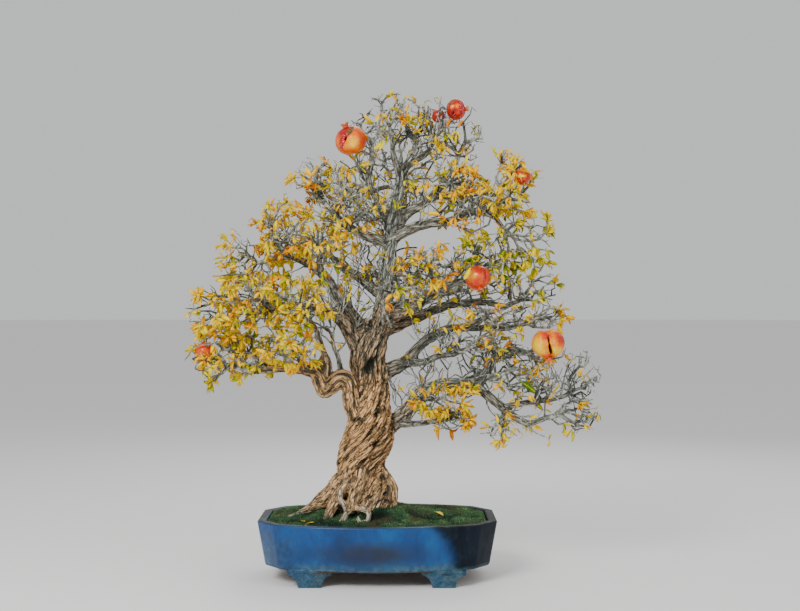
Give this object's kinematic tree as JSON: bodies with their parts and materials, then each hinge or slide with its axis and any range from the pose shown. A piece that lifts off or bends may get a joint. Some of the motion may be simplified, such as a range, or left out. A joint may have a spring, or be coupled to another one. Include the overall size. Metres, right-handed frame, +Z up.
{
  "type": "pomegranate bonsai",
  "caption": "Dwarf pomegranate bonsai in autumn leaf with ripening fruit, its twisted trunk and roots set in a mossy mound in an oval glazed tray pot on cloud feet",
  "frame": {"origin": "middle of the whole object's footprint, on the ground under the pot's feet", "axes": "+Z up the trunk, -Y towards the front of the display, +X to the viewer's right along the pot's long side"},
  "size_m": [0.6718, 0.2862, 0.794],
  "materials": {
    "bark": "dry ridged bark, tan on the bole and grey on the limbs",
    "yellow_leaves": "thin matte autumn leaves on grey twigs",
    "grey_twigs": "pale dry twigs with few leaves",
    "fruit_skin": "waxy red-orange rind with a soft gloss",
    "blue_glaze": "mottled gloss glaze, worn matte on the rim",
    "soil": "coarse dark grit",
    "moss": "dense matte cushion moss"
  },
  "bodies": {
    "root": {"pot": "blue_glaze", "soil": "soil", "moss": "moss", "tree": "bark", "fruit_upper_left": "fruit_skin", "fruit_top": "fruit_skin", "fruit_top_back": "fruit_skin", "fruit_right_high": "fruit_skin", "fruit_right_mid": "fruit_skin", "fruit_right": "fruit_skin", "fruit_left": "fruit_skin", "spray_left_tip": "yellow_leaves", "spray_left_low_outer": "yellow_leaves", "spray_left_low_inner": "yellow_leaves", "spray_left_mid_tip": "yellow_leaves", "spray_left_mid_outer": "yellow_leaves", "spray_left_mid_inner": "yellow_leaves", "spray_left_mid_back": "yellow_leaves", "spray_left_high_tip": "yellow_leaves", "spray_left_high_top": "yellow_leaves", "spray_left_high_inner": "yellow_leaves", "spray_left_high_back": "yellow_leaves", "spray_upper_left_tip": "yellow_leaves", "spray_upper_left_mid": "yellow_leaves", "spray_crown_left_top": "yellow_leaves", "spray_upper_left_back": "yellow_leaves", "spray_top_left": "yellow_leaves", "spray_top_mid": "yellow_leaves", "spray_top_right": "yellow_leaves", "spray_top_back": "yellow_leaves", "spray_centre_left": "yellow_leaves", "spray_crown_right_top": "yellow_leaves", "spray_crown_right_mid": "yellow_leaves", "spray_right_high_tip": "yellow_leaves", "spray_right_high_outer": "yellow_leaves", "spray_right_high_inner": "yellow_leaves", "spray_right_high_back": "yellow_leaves", "spray_right_mid_tip": "yellow_leaves", "spray_right_mid_front": "yellow_leaves", "spray_right_back_tip": "yellow_leaves", "spray_right_back_mid": "yellow_leaves", "spray_centre_front": "yellow_leaves", "spray_centre_back": "yellow_leaves", "spray_right_low_tip": "yellow_leaves", "spray_right_low_mid": "yellow_leaves", "spray_sweep_top": "yellow_leaves", "spray_right_low_fork": "yellow_leaves", "spray_sweep_mid": "yellow_leaves", "spray_sweep_low_tip": "yellow_leaves", "spray_sweep_far_tip": "grey_twigs", "spray_sweep_far_mid": "yellow_leaves", "spray_sweep_front": "yellow_leaves", "spray_sweep_front_low": "yellow_leaves", "spray_sweep_hang": "yellow_leaves", "spray_sweep_back": "yellow_leaves"}
  },
  "joints": []
}
